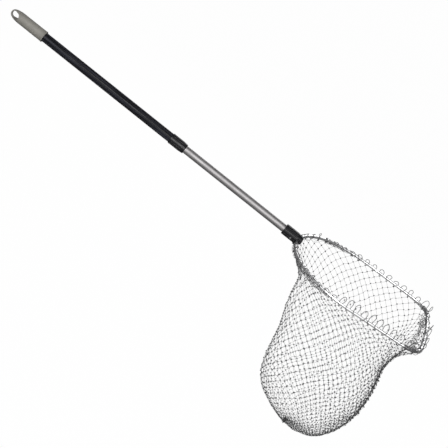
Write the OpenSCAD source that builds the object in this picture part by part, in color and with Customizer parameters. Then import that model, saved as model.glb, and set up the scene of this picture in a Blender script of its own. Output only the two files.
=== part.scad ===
// Telescoping landing net: fluted outer tube with a hanging cap, twist-lock collar,
// bare inner tube, push-button yoke and a bent tube hoop with a knotted twine bag.
// The handle lies along X with the cap at the -X end, and the bag hangs towards -Z.
// The origin is on the handle's axis, where the cap's straight sleeve begins.

/* [End cap] */
// Outer diameter of the cap's straight sleeve
cap_d = 36; // [34:0.5:42]
// Length of the cap's straight sleeve
cap_l = 89; // [60:1:120]
// How far the rounded tip reaches behind the sleeve
cap_tip_l = 38; // [34:1:48]
// Thickness of the solid end between the tip and the tube
cap_floor = 8; // [4:1:14]
// Length of the hanging hole along the handle
eye_l = 28; // [18:1:29]
// Height of the hanging hole across the handle
eye_w = 21; // [10:1:22]
// Wall left between the hanging hole and the very tip
eye_rim = 4; // [3.5:0.5:6]
// Thickness of the flattened eye, from side to side
eye_t = 9; // [8:0.5:18]
// Height of the rolled bead round the cap's mouth
cap_bead = 0.7; // [0.3:0.1:1.2]
// Length of that bead
cap_bead_l = 3; // [2:0.5:6]
// Radius of the scoops that flatten the tip
scoop_r = 30; // [20:1:60]

/* [Outer tube] */
// Diameter of the outer tube over its ribs
outer_d = 30; // [29:0.5:32]
// Height of a rib above the tube's core
rib_h = 0.7; // [0.4:0.1:0.8]
// Number of ribs round the tube
rib_n = 24; // [16:1:32]
// Bore of the outer tube
outer_bore = 27; // [26.8:0.05:27.2]
// Length of outer tube that shows between the cap and the collar
outer_show = 494; // [420:1:560]

/* [Twist lock] */
// Length of the twist-lock collar
collar_l = 55; // [50:1:70]
// Largest diameter of the collar, over its rear bead
collar_d = 35; // [34.5:0.1:38]
// Diameter of the collar's nose
collar_nose_d = 30.5; // [29.5:0.1:32]
// Length of the bead at the collar's rear
bead_l = 5; // [3:0.5:8]
// Height of that bead above the grip
collar_bead = 0.5; // [0.3:0.1:0.8]
// Length over which the collar's nose tapers
taper_l = 16; // [12:1:20]
// Radius of a grip flute
flute_r = 1.5; // [1:0.1:2]
// Depth of a grip flute
flute_deep = 0.7; // [0.4:0.1:0.9]
// Number of grip flutes round the collar
flute_n = 18; // [12:1:24]
// How far inside the collar's rear face the threaded sleeve begins
sleeve_inset = 3; // [1:0.5:5]
// Outer diameter of the threaded sleeve inside the collar
sleeve_d = 31; // [30.6:0.1:31.6]
// Length of outer tube that the sleeve grips
sleeve_grip = 20; // [12:1:26]
// Thickness of the sleeve's stop wall in front of the tube
stop_t = 4; // [3:0.5:6]
// Length of the split collet
collet_l = 17; // [14:1:20]
// Length of the collet's plain ring, behind its cone
collet_ring_l = 4; // [3:0.5:6]
// Wall of the collet at its nose
collet_nose_t = 1.2; // [0.8:0.1:1.6]
// Width of the collet's slots
collet_slot = 1.6; // [1:0.1:2.4]

/* [Inner tube] */
// Outer diameter of the inner tube
inner_d = 25; // [24.8:0.05:25.2]
// Wall of the inner tube
inner_wall = 1.2; // [1:0.1:1.6]
// Length of inner tube that shows between the collar and the yoke
inner_show = 387; // [300:1:440]
// Length of the guide bush on the hidden end of the inner tube
bush_l = 56; // [40:1:70]
// Length of the bush's plug inside the inner tube
plug_l = 26; // [22:1:34]
// Thickness of the bush's closed end
bush_cap_t = 3; // [2:0.5:5]
// Diameter of the pin through the guide bush
bush_pin_d = 3; // [2:0.5:4]

/* [Yoke] */
// Outer diameter of the yoke
yoke_d = 34; // [32:0.5:38]
// Length of the yoke from its rear face to the middle of the hoop's tube
yoke_l = 57; // [52:1:66]
// Depth of the socket that takes the inner tube
socket_l = 47; // [42:1:49]
// Distance of the hoop's tube below the handle's axis at the yoke
hoop_drop = 8; // [7:0.5:9]
// How far the yoke's hook reaches in front of the middle of the hoop's tube
yoke_hook = 10.3; // [9:0.1:13]
// How far the lip under the tube reaches in front of its middle
yoke_lip = 3; // [1:0.5:4.5]
// Height of the hook's tip above the middle of the hoop's tube
hook_tip = 4; // [2:0.5:4.5]
// Radius of the rounded top edge of the hook
yoke_nose_r = 13; // [9:0.5:16]
// Thickness of the web between the yoke's socket and its nose
socket_web = 3; // [2:0.5:4]
// Length of the raised ring at the yoke's rear
yoke_ring_l = 3; // [2:0.5:6]
// Height of that ring
yoke_ring = 0.6; // [0.3:0.1:1]
// Height of the raised bands along the yoke
band_h = 0.8; // [0.4:0.1:1.2]
// Number of raised bands along the yoke
band_n = 14; // [8:2:20]
// Shank diameter of the two screws that hold the hoop
screw_d = 3.5; // [3:0.5:4]
// Distance between the two screws
screw_gap = 16; // [12:1:20]
// How far the screws reach above the handle's axis
screw_above = 6; // [4:0.5:8]

/* [Snap button] */
// Diameter of the snap button
button_d = 7; // [6:0.5:8]
// How far the button stands out of the yoke
button_proud = 1.6; // [1:0.1:2.4]
// Angle of the button below the hoop's plane
button_angle = 24; // [0:1:60]
// Distance of the button behind the hoop's tube
button_back = 26; // [22:1:32]
// Width of the leaf spring
leaf_w = 9; // [7:0.5:10]
// Thickness of the leaf spring
leaf_t = 0.8; // [0.6:0.1:1]
// Length of the leaf behind the button
leaf_l = 30; // [24:1:40]
// Length of the leaf in front of the button's middle
leaf_nose = 6; // [5:0.5:8]

/* [Hoop] */
// Diameter of the hoop's tube
hoop_tube_d = 9.5; // [8:0.1:10]
// Wall of the hoop's tube
hoop_wall = 1; // [0.8:0.1:1.4]
// Length of the hoop on its centre line
hoop_l = 480; // [450:1:520]
// Width of the hoop on its centre line
hoop_w = 456; // [430:1:480]
// Half length of the straight stretch held by the yoke
arm_half = 16; // [15:1:20]
// Angle by which the hoop's sides draw together
side_taper = 4.8; // [3:0.1:6]
// Bend radius of the hoop's far corners
corner_r = 68; // [55:1:80]
// Half angle of the slightly bowed far end
end_bow = 5.6; // [5:0.1:9]
// Angle by which the hoop rises from the handle's line
hoop_pitch = 3.5; // [0:0.1:6]
// Half length of the dowel that joins the tube's two ends
dowel_half = 15; // [14:0.5:15]
// Gap between the tube's two ends, under the yoke
hoop_gap = 0.3; // [0.2:0.1:1]

/* [Netting] */
// Depth of the bag below the hoop
bag_depth = 506; // [420:2:560]
// Thickness of the bag's wall
bag_wall = 2.5; // [2:0.1:4]
// Windows round the bag
bag_sectors = 12; // [8:1:12]
// Windows down the bag
bag_levels = 5; // [4:1:7]
// Share of a window's panel that each of its four bars takes
panel_bar = 0.05; // [0.03:0.01:0.12]
// Diameter of the twine
twine_d = 2.2; // [1.8:0.1:3]
// Distance between rim loops along the hoop
loop_pitch = 29; // [24:1:40]
// Inner radius of a rim loop
loop_r = 8; // [7:0.5:10]
// Outer diameter of the bunched twine on the hoop's shoulders
bunch_d = 15; // [13:0.5:18]
// Length of bunched twine on each shoulder
shoulder_bunch = 250; // [120:5:280]
// Where the bunched twine begins, along the hoop from the yoke's middle
bunch_start = 45; // [30:1:60]
// Outer diameter of the twine lashed round the far corners
lashing_d = 13.5; // [12.5:0.5:16]
// Part of each far corner, at either end of its bend, that the lashing leaves bare
lashing_inset = 4; // [2:0.5:10]
// Gap between the yoke's lip and the rim of the bag
yoke_gap = 5; // [2:0.5:12]
// Diameter of the knotted gather under the bag
knot_d = 16; // [12:1:22]

/* [Fits] */
// Radial clearance of parts that run on each other
run_c = 0.06; // [0.03:0.01:0.1]
// Radial clearance of parts that are seated in each other
seat_c = 0.04; // [0.02:0.01:0.06]
// Gap between parts that only pass each other
pass_c = 0.35; // [0.3:0.05:0.5]

/* [Hidden] */
$fn = 72;

// Places along the handle
cap_mouth_x = cap_l;
collar_x = cap_mouth_x + outer_show;
collar_end_x = collar_x + collar_l;
sleeve_x = collar_x + sleeve_inset;
outer_end_x = sleeve_x + sleeve_grip;
collet_x = outer_end_x + stop_t + pass_c;
collet_cone_x = collet_x + collet_ring_l;
collet_end_x = collet_x + collet_l;
yoke_x = collar_end_x + inner_show;
hoop_x = yoke_x + yoke_l;
inner_end_x = yoke_x + socket_l;
bush_end_x = outer_end_x - pass_c;
bush_x = bush_end_x - bush_l;
inner_x = bush_x + bush_cap_t;
button_x = hoop_x - button_back;
bush_pin_x = bush_x + bush_l / 3;
// How far a cutting body runs past the faces it cuts, and how far joined ones overlap
over = 1;
// Facets of small round shapes
fine_n = 24;

// Diameters that follow from the fits
outer_core = outer_d - 2 * rib_h;
inner_bore = inner_d - 2 * inner_wall;
collet_bore = inner_d + 2 * run_c;
collet_nose_d = collet_bore + 2 * collet_nose_t;
collar_bore = sleeve_d + 2 * run_c;
collar_nose_bore = inner_d + 2 * pass_c;
// The threaded sleeve's pins, and how far all pins and screws stay below the surface
pin_d = 2.5;
sunk = 0.3;
shank_fit = screw_d + 2 * seat_c;
screw_head_d = 2 * screw_d;
screw_head_h = 2;
// From the underside of the yoke, through the hoop's tube, into the nose
screw_l = yoke_d / 2 + screw_above;
// Chamfer on the moulded parts' edges
edge = 0.8;

// Snap button, measured out from the handle's axis
button_top = yoke_d / 2 + button_proud;
button_edge = 0.5;
flange_d = button_d + 5 * button_edge;
flange_t = 1;
flange_top = sqrt(pow(inner_bore / 2, 2) - pow(flange_d / 2, 2)) - pass_c;
leaf_top = flange_top - flange_t;
leaf_half = leaf_w / 2;
heel_low = sqrt(pow(inner_bore / 2, 2) - pow(leaf_half, 2)) - pass_c / 2;
heel_r = (leaf_top + heel_low) / 2;
leaf_rear_x = button_x - leaf_l;

// Hoop outline, one half: straight, shoulder arc, side, corner arc, bowed end
shoulder_r = hoop_w / 2 - arm_half;
side_start = [shoulder_r * (1 + sin(side_taper)), arm_half + shoulder_r * cos(side_taper)];
corner_in = [-sin(side_taper), -cos(side_taper)] * corner_r;
end_dir = [cos(end_bow), sin(end_bow)];
rise0 = side_start + corner_in + corner_r * end_dir;
// The side's length that brings the far end to hoop_l from the yoke
reach0 = rise0[0] + rise0[1] / sin(end_bow) * (1 - cos(end_bow));
side_l = (hoop_l - reach0) / (cos(side_taper) - sin(side_taper) / sin(end_bow) * (1 - cos(end_bow)));
side_end = side_start + side_l * [cos(side_taper), -sin(side_taper)];
corner_c = side_end + corner_in;
end_r = (corner_c[1] + corner_r * sin(end_bow)) / sin(end_bow);
end_c = hoop_l - end_r;
run1 = arm_half;
run2 = run1 + shoulder_r * (90 + side_taper) * PI / 180;
run3 = run2 + side_l;
run4 = run3 + corner_r * (90 - side_taper - end_bow) * PI / 180;
run5 = run4 + end_r * end_bow * PI / 180;

// Point and heading on the hoop's half outline at a distance s from the yoke's middle
function hoop_at(s) =
    s < run1 ? [0, s, 90] :
    s < run2 ? let (t = (s - run1) / shoulder_r * 180 / PI)
        [shoulder_r * (1 - cos(t)), arm_half + shoulder_r * sin(t), 90 - t] :
    s < run3 ? let (d = s - run2)
        [side_start[0] + d * cos(side_taper), side_start[1] - d * sin(side_taper), -side_taper] :
    s < run4 ? let (t = side_taper + (s - run3) / corner_r * 180 / PI)
        [corner_c[0] + corner_r * sin(t), corner_c[1] + corner_r * cos(t), -t] :
    let (t = end_bow - (s - run4) / end_r * 180 / PI)
        [end_c + end_r * cos(t), end_r * sin(t), t - 90];

// Bag stations, evenly spaced from rim to gather:
// share of the depth, of the hoop's half length, of its half width, and of its length to the middle
bag_stations = [
    [0.00, 1.00, 1.00, 0.500],
    [0.13, 0.82, 0.76, 0.528],
    [0.30, 0.76, 0.70, 0.538],
    [0.50, 0.74, 0.67, 0.590],
    [0.69, 0.71, 0.64, 0.612],
    [0.85, 0.59, 0.59, 0.623],
    [0.97, 0.29, 0.28, 0.670],
    [1.00, 0.00, 0.00, 0.624]
];
// Shares of a panel's width, and of its height, at which its edges, window and middle lie
panel_stops = [0, panel_bar, 0.5, 1 - panel_bar, 1];
// Share of the way down at which the last level gives way to the round foot
foot_t = 0.95;
// Share of the way down by which the rim's outline has become an ellipse
blend_t = 0.45;
// Small steps of the two shares, for measuring the wall's direction and pace
step_u = 0.004;
step_t = 0.002;
loop_lift = loop_r - hoop_tube_d / 2 - pass_c;
loop_low = loop_r - loop_lift + twine_d;
bag_top = -(max(loop_low, bunch_d / 2) + pass_c);
// Where the bag's rim crosses in front of the yoke
bag_rear = yoke_lip + yoke_gap;

function pick(rows, i, k) = rows[max(0, min(len(rows) - 1, i))][k];
// Catmull-Rom value of column k at t from 0 to 1
function smooth_at(rows, t, k) =
    let (f = t * (len(rows) - 1), i = min(floor(f), len(rows) - 2), u = f - i,
         a = pick(rows, i - 1, k), b = pick(rows, i, k),
         c = pick(rows, i + 1, k), d = pick(rows, i + 2, k))
    b + 0.5 * u * ((c - a) + u * ((2 * a - 5 * b + 4 * c - d) + u * (3 * (b - c) + d - a)));
function ease(t) = t <= 0 ? 0 : t >= 1 ? 1 : t * t * (3 - 2 * t);
// Unit outline in x and y: the hoop's own at the rim, an ellipse further down
function rim_unit(u) =
    let (v = u <= 0.5 ? 2 * u : 2 - 2 * u, p = hoop_at(v * run5))
    [max(p[0], bag_rear) / (hoop_l / 2) - 1, (u <= 0.5 ? 1 : -1) * p[1] / (hoop_w / 2)];
function bag_unit(u, t) =
    let (w = ease(t / blend_t), e = [-cos(360 * u), sin(360 * u)]) (1 - w) * rim_unit(u) + w * e;
function bag_at(u, t) =
    let (e = bag_unit(u, t), k = hoop_l * smooth_at(bag_stations, t, 3))
    [k + e[0] * hoop_l / 2 * smooth_at(bag_stations, t, 1),
     e[1] * hoop_w / 2 * smooth_at(bag_stations, t, 2),
     bag_top - (bag_depth + bag_top) * smooth_at(bag_stations, t, 0)];
// The same point moved inwards by the wall's thickness
function bag_in(u, t) =
    let (p = bag_at(u, t), m = bag_at(u - step_u, t), n = bag_at(u + step_u, t),
         g = [n[0] - m[0], n[1] - m[1]], q = g / norm(g))
    [p[0] + bag_wall * q[1], p[1] - bag_wall * q[0],
     p[2] + bag_wall * ease((t - blend_t) / (1 - blend_t))];
// Shares that half a seam between panels takes, round the bag and down it
function seam_u(u, t) = pass_c * step_u / norm(bag_at(u + step_u, t) - bag_at(u - step_u, t));
function seam_t(u, t) = pass_c * step_t / norm(bag_at(u, t + step_t) - bag_at(u, t - step_t));

module along_x(x) translate([x, 0, 0]) rotate([0, 90, 0]) children();
module tube_x(x, l, d, bore) {
    along_x(x) difference() {
        cylinder(h = l, d = d);
        translate([0, 0, -over]) cylinder(h = l + 2 * over, d = bore);
    }
}
// Turned shape about the handle's axis: a list of [place along X, radius] corners
module turned(corners) rotate([90, 0, 90]) rotate_extrude() polygon([for (c = corners) [c[1], c[0]]]);
module at_hoop() translate([hoop_x, 0, -hoop_drop]) rotate([0, -hoop_pitch, 0]) children();
// One half of the hoop's plane and its mirror image
module both_halves() {
    children();
    mirror([0, 1, 0]) children();
}
// Part of the handle turned so that +Z looks out through the snap button
module at_button(x) translate([x, 0, 0]) rotate([90 + button_angle, 0, 0]) children();

module end_cap() {
    eye_x = -cap_tip_l + eye_rim;
    bead_x = cap_l - cap_bead_l;
    // Below 1, this makes the dome fuller than a plain ellipse
    fullness = 0.72;
    color([0.55, 0.54, 0.51]) difference() {
        union() {
            along_x(0) cylinder(h = bead_x, d = cap_d);
            // Rounded end: a dome stretched along the handle
            turned(concat([[0, 0]], [for (a = [0 : 6 : 84])
                [-cap_tip_l * sin(a), cap_d / 2 * pow(cos(a), fullness)]], [[-cap_tip_l, 0]]));
            turned([[bead_x - over, 0], [bead_x - over, cap_d / 2], [bead_x, cap_d / 2 + cap_bead],
                    [cap_l - edge, cap_d / 2 + cap_bead], [cap_l, cap_d / 2 + cap_bead - edge], [cap_l, 0]]);
        }
        along_x(cap_floor) cylinder(h = cap_l, d = outer_d + 2 * seat_c);
        // Scoops that flatten the tip into an eye
        for (side = [-1, 1]) translate([-cap_tip_l, side * (eye_t / 2 + scoop_r), 0])
            cylinder(h = 2 * cap_d, r = scoop_r, center = true);
        // Hanging hole with round ends
        for (x = [eye_x + eye_w / 2, eye_x + eye_l - eye_w / 2])
            translate([x, 0, 0]) rotate([90, 0, 0]) cylinder(h = 2 * cap_d, d = eye_w, center = true);
        translate([eye_x + eye_l / 2, 0, 0]) cube([eye_l - eye_w, 2 * cap_d, eye_w], center = true);
    }
}

module outer_tube() {
    color([0.06, 0.06, 0.07]) difference() {
        union() {
            along_x(cap_floor) cylinder(h = outer_end_x - cap_floor, d = outer_core);
            along_x(cap_floor) linear_extrude(sleeve_x - pass_c - cap_floor) for (i = [0 : rib_n - 1])
                rotate(i * 360 / rib_n) translate([outer_core / 2, 0]) circle(r = rib_h, $fn = fine_n);
        }
        along_x(cap_floor - over) cylinder(h = outer_end_x, d = outer_bore);
        for (side = [0, 180]) sleeve_pin_place(side) cylinder(h = outer_d, d = pin_d + 2 * seat_c);
    }
}

// The two pins of the threaded sleeve, one on each side of the handle
module sleeve_pin_place(side) translate([sleeve_x + sleeve_grip / 2, 0, 0])
    rotate([side + 90, 0, 0]) translate([0, 0, outer_bore / 2]) children();

module thread_sleeve() {
    lip = 1.2;
    color([0.12, 0.12, 0.13]) difference() {
        turned([[sleeve_x, 0], [sleeve_x, sleeve_d / 2 - lip / 2], [sleeve_x + lip, sleeve_d / 2],
                [outer_end_x + stop_t - lip, sleeve_d / 2], [outer_end_x + stop_t, sleeve_d / 2 - lip],
                [outer_end_x + stop_t, 0]]);
        along_x(sleeve_x - over) cylinder(h = sleeve_grip + over, d = outer_core + 2 * seat_c);
        along_x(sleeve_x) cylinder(h = collar_l, d = collet_bore);
        for (side = [0, 180]) sleeve_pin_place(side) cylinder(h = outer_d, d = pin_d + 2 * seat_c);
    }
}

module sleeve_pins() {
    pin_l = (sleeve_d - outer_bore) / 2 - 2 * sunk;
    color([0.7, 0.7, 0.72]) for (side = [0, 180]) sleeve_pin_place(side)
        translate([0, 0, sunk]) cylinder(h = pin_l, d = pin_d);
}

module split_collet() {
    rear_r = collar_bore / 2 - pass_c;
    color([0.85, 0.85, 0.82]) difference() {
        turned([[collet_x, 0], [collet_x, rear_r], [collet_cone_x, rear_r],
                [collet_end_x, collet_nose_d / 2], [collet_end_x, 0]]);
        along_x(collet_x - over) cylinder(h = collet_l + 2 * over, d = collet_bore);
        // Three slots that stop short, and one that runs right through
        for (a = [90, 180, 270]) rotate([a, 0, 0])
            translate([collet_cone_x, -collet_slot / 2, 0]) cube([collet_l, collet_slot, sleeve_d]);
        translate([collet_x - over, -collet_slot / 2, 0])
            cube([collet_l + 2 * over, collet_slot, sleeve_d]);
    }
}

// Grip with a rear bead, and a nose that tapers down to the inner tube
module lock_collar() {
    bead_r = collar_d / 2;
    grip_r = bead_r - collar_bead;
    nose_r = collar_nose_d / 2;
    cone_x = collet_end_x + pass_c;
    flute_x = collar_x + bead_l + 2 * edge;
    color([0.08, 0.08, 0.09]) difference() {
        turned([
            [collar_x, collar_bore / 2], [collar_x, bead_r - edge], [collar_x + edge, bead_r],
            [collar_x + bead_l - edge, bead_r], [collar_x + bead_l, grip_r],
            [collar_end_x - taper_l, grip_r], [collar_end_x - 2 * edge, nose_r + collar_bead],
            [collar_end_x, nose_r - edge], [collar_end_x, collar_nose_bore / 2],
            // Nose bore, then the cone that squeezes the collet, then the threaded bore
            [cone_x, collar_nose_bore / 2], [cone_x, collet_nose_d / 2 + pass_c],
            [collet_cone_x, collar_bore / 2]]);
        for (i = [0 : flute_n - 1]) rotate([i * 360 / flute_n, 0, 0])
            translate([flute_x, 0, grip_r + flute_r - flute_deep]) rotate([0, 90, 0])
                cylinder(h = collar_l, r = flute_r, $fn = fine_n);
    }
}

module inner_tube() {
    color([0.78, 0.78, 0.79]) difference() {
        tube_x(inner_x, inner_end_x - inner_x, inner_d, inner_bore);
        at_button(button_x) cylinder(h = yoke_d, d = button_d + 2 * run_c);
        bush_pin_hole();
    }
}

module bush_pin_hole() translate([bush_pin_x, 0, 0])
    cylinder(h = outer_d, d = bush_pin_d + 2 * seat_c, center = true);

module guide_bush() {
    color([0.2, 0.2, 0.21]) difference() {
        union() {
            tube_x(bush_x, bush_l, outer_bore - 2 * run_c, inner_d + 2 * seat_c);
            along_x(bush_x) cylinder(h = bush_cap_t, d = outer_bore - 2 * run_c);
            along_x(bush_x) cylinder(h = plug_l, d = inner_bore - 2 * seat_c);
        }
        along_x(bush_x - over) cylinder(h = plug_l + 2 * over, d = inner_bore / 2);
        bush_pin_hole();
    }
}

module bush_pin() color([0.7, 0.7, 0.72]) translate([bush_pin_x, 0, 0])
    cylinder(h = outer_bore - 2 * run_c - 2 * sunk, d = bush_pin_d, center = true);

module snap_button() {
    dome = 1.2;
    color([0.9, 0.9, 0.9]) at_button(button_x) rotate_extrude() polygon([
        [0, leaf_top], [flange_d / 2, leaf_top], [flange_d / 2, flange_top], [button_d / 2, flange_top],
        [button_d / 2, button_top - dome], [button_d / 2 - button_edge, button_top - dome / 3],
        [button_d / 4, button_top], [0, button_top]]);
}

// Sprung arm of the leaf, riveted under the button, which moves with it
module button_leaf() {
    color([0.6, 0.6, 0.62]) at_button(0)
        translate([leaf_rear_x, -leaf_half, leaf_top - leaf_t]) cube([leaf_l + leaf_nose, leaf_w, leaf_t]);
}

// Bend and seated arm of the leaf, which stay in the inner tube
module spring_heel() {
    mid = (leaf_top - heel_low) / 2;
    heel_x = leaf_rear_x - pass_c;
    overlap = 0.01;
    color([0.6, 0.6, 0.62]) at_button(0) {
        // Half ring of flat strip
        translate([heel_x, leaf_half, mid]) rotate([90, 0, 0]) rotate([0, 0, 90])
            rotate_extrude(angle = 180) translate([heel_r - leaf_t, 0]) square([leaf_t, leaf_w]);
        translate([heel_x - overlap, -leaf_half, -heel_low]) cube([leaf_l - leaf_nose, leaf_w, leaf_t]);
    }
}

module yoke() {
    tube_r = hoop_tube_d / 2 + seat_c;
    half_w = arm_half - edge;
    // The bands' middles lie just under the surface
    band_sunk = 0.4;
    bands_l = socket_l - yoke_ring_l;
    color([0.05, 0.05, 0.055]) difference() {
        union() {
            along_x(yoke_x) cylinder(h = socket_l + socket_web, d = yoke_d);
            // Nose over the hoop's tube: round above, square-edged below
            intersection() {
                union() {
                    along_x(yoke_x) cylinder(h = yoke_l + yoke_d, d = yoke_d);
                    translate([yoke_x, -half_w, -yoke_d / 2]) cube([yoke_l + yoke_d, 2 * half_w, hoop_drop]);
                }
                translate([hoop_x, half_w, 0]) rotate([90, 0, 0]) linear_extrude(2 * half_w)
                    nose_outline();
            }
            // Raised bands along the sleeve, and a raised ring at its rear
            for (i = [0 : band_n - 1]) rotate([(i + 0.5) * 360 / band_n, 0, 0])
                translate([yoke_x + yoke_ring_l, 0, yoke_d / 2 - band_sunk]) rotate([0, 90, 0])
                    cylinder(h = bands_l, r = band_h + band_sunk, $fn = fine_n);
            tube_x(yoke_x, yoke_ring_l, yoke_d + 2 * yoke_ring, inner_d + 2 * seat_c);
        }
        along_x(yoke_x - over) cylinder(h = socket_l + over, d = inner_d + 2 * seat_c);
        at_button(button_x) cylinder(h = yoke_d, d = button_d + 2 * run_c);
        // Channel that holds the hoop's tube, open to the front below the hook
        translate([hoop_x, 0, -hoop_drop]) rotate([90, 0, 0])
            cylinder(h = yoke_d + 2 * over, r = tube_r, center = true);
        translate([hoop_x, -yoke_d, -hoop_drop - tube_r]) cube([yoke_d, 2 * yoke_d, tube_r + hook_tip / 2]);
        screw_places() {
            cylinder(h = screw_l + seat_c, d = shank_fit);
            translate([0, 0, -over]) cylinder(h = screw_head_h + over, d = screw_head_d + 2 * pass_c);
        }
    }
}

// Side outline of the nose, about the middle of the hoop's tube
module nose_outline() {
    back = -(yoke_l - socket_l) - socket_web / 2;
    top = yoke_d / 2;
    polygon(concat(
        [[back, -top], [yoke_lip, -top], [yoke_lip, -hoop_drop], [yoke_hook, hook_tip - hoop_drop]],
        [for (a = [0 : 10 : 90])
            [yoke_hook - yoke_nose_r * (1 - cos(a)), top - yoke_nose_r * (1 - sin(a))]],
        [[back, top]]));
}

// Axes of the two screws, from the underside of the yoke upwards
module screw_places() for (side = [-1, 1])
    translate([hoop_x, side * screw_gap / 2, -yoke_d / 2]) children();

module hoop_screws() {
    color([0.75, 0.75, 0.77]) screw_places() {
        translate([0, 0, sunk]) cylinder(h = screw_head_h - sunk, d = screw_head_d);
        translate([0, 0, sunk]) cylinder(h = screw_l - sunk, d = screw_d);
    }
}

// Facets round the hoop's tube, and rings in its shoulder, corner and half end
hoop_sides = 20;
shoulder_rings = 20;
corner_rings = 8;
end_rings = 4;
// Distances along the hoop's half at which its swept tube has a ring
hoop_stops = concat(
    [hoop_gap / 2, run1],
    [for (i = [1 : shoulder_rings]) run1 + (run2 - run1) * i / shoulder_rings],
    [for (i = [0 : corner_rings]) run3 + (run4 - run3) * i / corner_rings],
    [for (i = [1 : end_rings]) run4 + (run5 - run4) * i / end_rings]);
// Points and headings round the whole hoop, from one tube end to the other
hoop_path = concat(
    [for (s = hoop_stops) hoop_at(s)],
    [for (i = [len(hoop_stops) - 2 : -1 : 0]) let (p = hoop_at(hoop_stops[i])) [p[0], -p[1], 180 - p[2]]]);

// Round ring of points across a path at one of its [x, y, heading] stops
function ring_points(p, r, sides) = [for (k = [0 : sides - 1]) let (a = 360 * k / sides)
    [p[0] + r * cos(a) * sin(p[2]), p[1] - r * cos(a) * cos(p[2]), r * sin(a)]];
// Two triangles of a face whose corners run clockwise, seen from outside
function quad(a, b, c, d) = [[a, b, c], [a, c, d]];
// Side walls between rings of points, numbered from first
function wall_faces(first, rings, sides, out) = [for (j = [0 : rings - 2], k = [0 : sides - 1])
    let (m = (k + 1) % sides, p = first + j * sides, q = p + sides)
    each out ? quad(p + k, p + m, q + m, q + k) : quad(p + k, q + k, q + m, p + m)];
// Flat end between an outer and an inner ring of points
function end_faces(outer, inner, sides, front) = [for (k = [0 : sides - 1])
    let (m = (k + 1) % sides)
    each front ? quad(outer + k, inner + k, inner + m, outer + m)
               : quad(outer + k, outer + m, inner + m, inner + k)];

module swept_tube(path, d, bore, sides) {
    n = len(path);
    inner = n * sides;
    points = concat([for (p = path, q = ring_points(p, d / 2, sides)) q],
                    [for (p = path, q = ring_points(p, bore / 2, sides)) q]);
    polyhedron(points, concat(
        wall_faces(0, n, sides, true), wall_faces(inner, n, sides, false),
        end_faces(0, inner, sides, true),
        end_faces(inner - sides, 2 * inner - sides, sides, false)));
}

// Hollow bend of round section, from angle 0 up
module bend(r, angle, d, bore) rotate_extrude(angle = angle) translate([r, 0]) difference() {
    circle(d = d);
    circle(d = bore);
}

module hoop() color([0.85, 0.85, 0.86]) difference() {
    at_hoop() swept_tube(hoop_path, hoop_tube_d, hoop_tube_d - 2 * hoop_wall, hoop_sides);
    screw_places() cylinder(h = screw_l + over, d = shank_fit);
}

// Dowel inside the hoop's tube, across the joint between its ends
module hoop_dowel() color([0.75, 0.62, 0.42]) difference() {
    translate([hoop_x, 0, -hoop_drop]) rotate([90, 0, 0])
        cylinder(h = 2 * dowel_half, d = hoop_tube_d - 2 * hoop_wall - 2 * seat_c, center = true);
    screw_places() cylinder(h = screw_l + over, d = shank_fit);
}

// Netting pushed together and wrapped round the hoop's shoulders
module shoulder_bunches() {
    start = (bunch_start - run1) / shoulder_r * 180 / PI;
    turn = shoulder_bunch / shoulder_r * 180 / PI;
    color([0.42, 0.42, 0.43]) at_hoop() both_halves()
        translate([shoulder_r, arm_half, 0]) rotate(180 - start - turn)
            bend(shoulder_r, turn, bunch_d, hoop_tube_d + 2 * pass_c);
}

// Twine lashed round the hoop's far corners
module corner_lashings() {
    inset = lashing_inset / corner_r * 180 / PI;
    turn = 90 - side_taper - end_bow - 2 * inset;
    color([0.42, 0.42, 0.43]) at_hoop() both_halves()
        translate([corner_c[0], corner_c[1], 0]) rotate(end_bow + inset)
            bend(corner_r, turn, lashing_d, hoop_tube_d + 2 * pass_c);
}

// Top loops of the netting, each round the hoop's tube
module rim_loops() {
    first = bunch_start + shoulder_bunch;
    side_n = floor((run3 - first) / loop_pitch);
    end_n = floor((run5 - run4) / loop_pitch);
    color([0.45, 0.45, 0.46]) at_hoop() both_halves() {
        for (i = [0 : side_n - 1]) twine_loop(first + (i + 0.5) * (run3 - first) / side_n);
        for (i = [0 : end_n - 1]) twine_loop(run4 + (i + 0.5) * (run5 - run4) / end_n);
    }
}
module twine_loop(s) {
    p = hoop_at(s);
    translate([p[0], p[1], loop_lift]) rotate(p[2]) rotate([0, 90, 0])
        rotate_extrude($fn = 36) translate([loop_r + twine_d / 2, 0]) circle(d = twine_d, $fn = 16);
}

// The bag's wall: a coarse net of windowed panels with a hair's breadth between them
module net_bag() color([0.5, 0.5, 0.51]) at_hoop() {
    for (sector = [0 : bag_sectors - 1], level = [0 : bag_levels - 1]) bag_panel(sector, level);
    bag_foot();
}

// Numbers of a panel's outer points, once round the square from line lo to line hi
function round_square(lo, hi, n) = concat(
    [for (i = [lo : hi - 1]) lo * n + i], [for (j = [lo : hi - 1]) j * n + hi],
    [for (i = [hi : -1 : lo + 1]) hi * n + i], [for (j = [hi : -1 : lo + 1]) j * n + lo]);

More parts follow.
